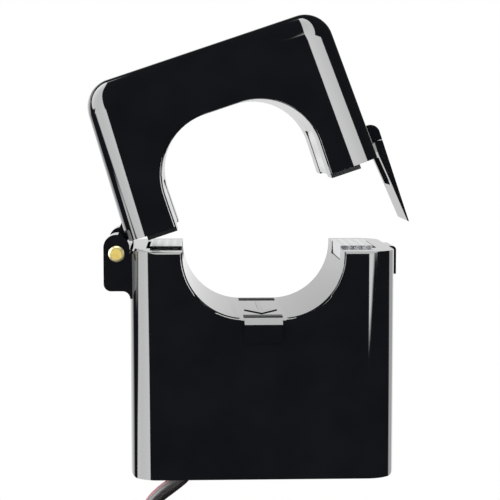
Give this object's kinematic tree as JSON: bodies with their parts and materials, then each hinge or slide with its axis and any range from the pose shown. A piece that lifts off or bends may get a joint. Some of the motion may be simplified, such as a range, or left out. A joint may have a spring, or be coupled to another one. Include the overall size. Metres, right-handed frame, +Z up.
{
  "type": "split-core current transformer",
  "caption": "Black moulded clamp-on current transformer: box with a hinged upper half, snap latch, cable window and two leads from the base, held half open.",
  "frame": {"origin": "middle of the window, on the window's axis", "axes": "+X to the latch side, +Y along the window to the back, +Z up to the hinged half"},
  "size_m": [0.0731, 0.0414, 0.1719],
  "materials": {
    "case_black": "glossy moulded ABS",
    "liner_black": "glossy moulded ABS, slightly greyer",
    "cover_black": "fine matt moulded ABS",
    "pin_brass": "turned brass, heads peened",
    "core_steel": "wound silicon steel strip, ground pole faces",
    "bobbin_nylon": "natural glass-filled nylon",
    "pin_tinned": "tinned wire",
    "winding_copper": "enamelled copper wire",
    "tape_yellow": "polyester tape",
    "board_green": "glass epoxy board with solder mask",
    "resistor_tan": "painted resistor body",
    "diode_black": "moulded diode body",
    "foam_grey": "closed-cell foam",
    "spring_steel": "spring steel strip",
    "grommet_rubber": "soft rubber",
    "lead_black": "PVC insulation, semi-gloss",
    "lead_red": "PVC insulation, semi-gloss",
    "tie_black": "nylon cable tie"
  },
  "bodies": {
    "base": {"lower_case": "case_black", "base_cover": "cover_black", "lead_grommet": "grommet_rubber", "hinge_pin": "pin_brass", "lower_core": "core_steel", "bobbin": "bobbin_nylon", "terminal_pins": "pin_tinned", "secondary_winding": "winding_copper", "winding_tape": "tape_yellow", "burden_board": "board_green", "burden_resistor": "resistor_tan", "surge_diode": "diode_black", "core_cushion": "foam_grey", "black_lead": "lead_black", "red_lead": "lead_red", "black_coil": "lead_black", "red_coil": "lead_red", "coil_tie": "tie_black", "black_tip": "pin_tinned", "red_tip": "pin_tinned"},
    "lid": {"upper_case": "case_black", "window_liner": "liner_black", "upper_core": "core_steel", "core_spring": "spring_steel"},
    "latch": {"latch_arm": "case_black"}
  },
  "joints": [
    {"name": "lid_hinge", "type": "hinge", "parent": "base", "child": "lid", "pos_m": [-0.0327, 0, -0.0045], "axis": [0, -1, 0], "range_deg": [-18.6, 71]},
    {"name": "latch_flex", "type": "hinge", "parent": "lid", "child": "latch", "pos_m": [0.0276, 0, 0.01822], "axis": [0, -1, 0], "range_deg": [-3, 6], "stiffness_Nm_per_rad": 2}
  ]
}
